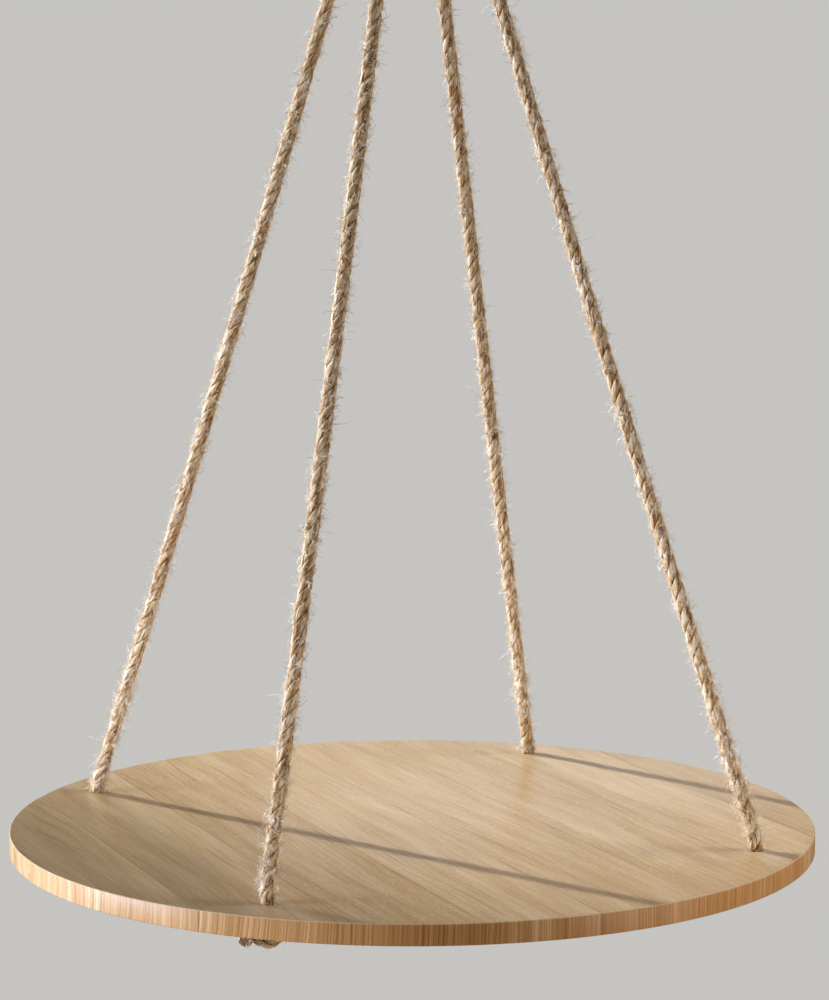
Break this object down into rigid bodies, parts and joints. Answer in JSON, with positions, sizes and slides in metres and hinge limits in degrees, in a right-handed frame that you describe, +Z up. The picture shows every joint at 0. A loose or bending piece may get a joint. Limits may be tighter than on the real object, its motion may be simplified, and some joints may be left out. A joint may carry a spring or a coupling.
{
  "type": "hanging rope shelf",
  "caption": "Round wooden board hung level by rope legs that meet in a whipped loop on a steel ring and a ceiling screw hook; it swings freely.",
  "frame": {"origin": "the point where the screw hook's axis meets the ceiling, on the plane of the collar's top face", "axes": "+Z up, along the screw into the ceiling; the board's grain and glue joints run along Y, and the hook's bowl lies in the XZ plane with its mouth towards +X"},
  "size_m": [0.6, 0.6, 1.0451],
  "materials": {
    "wood": "light hardwood staves, planed and sanded, clear satin lacquer",
    "jute_rope": "natural three-strand laid jute rope, hairy",
    "jute_twine": "natural jute twine",
    "zinc": "zinc-plated steel wire"
  },
  "bodies": {
    "hook": {"ceiling_hook": "zinc"},
    "ring": {"hanging_ring": "zinc"},
    "cradle": {"stave_1": "wood", "stave_2": "wood", "stave_3": "wood", "stave_4": "wood", "stave_5": "wood", "stave_6": "wood", "stave_7": "wood", "stave_8": "wood", "rope_leg_back_right": "jute_rope", "rope_leg_back_left": "jute_rope", "rope_leg_front_left": "jute_rope", "rope_leg_front_right": "jute_rope", "knot_back_right": "jute_rope", "knot_back_left": "jute_rope", "knot_front_left": "jute_rope", "knot_front_right": "jute_rope", "rope_loop_front": "jute_rope", "rope_loop_back": "jute_rope", "top_whipping": "jute_twine"}
  },
  "joints": [
    {"name": "ring_swing", "type": "hinge", "parent": "hook", "child": "ring", "pos_m": [0, 0, -0.04113], "axis": [1, 0, 0], "range_deg": [-30, 30]},
    {"name": "cradle_swing", "type": "hinge", "parent": "ring", "child": "cradle", "pos_m": [0, 0, -0.08082], "axis": [0, 1, 0], "range_deg": [-30, 30]}
  ]
}
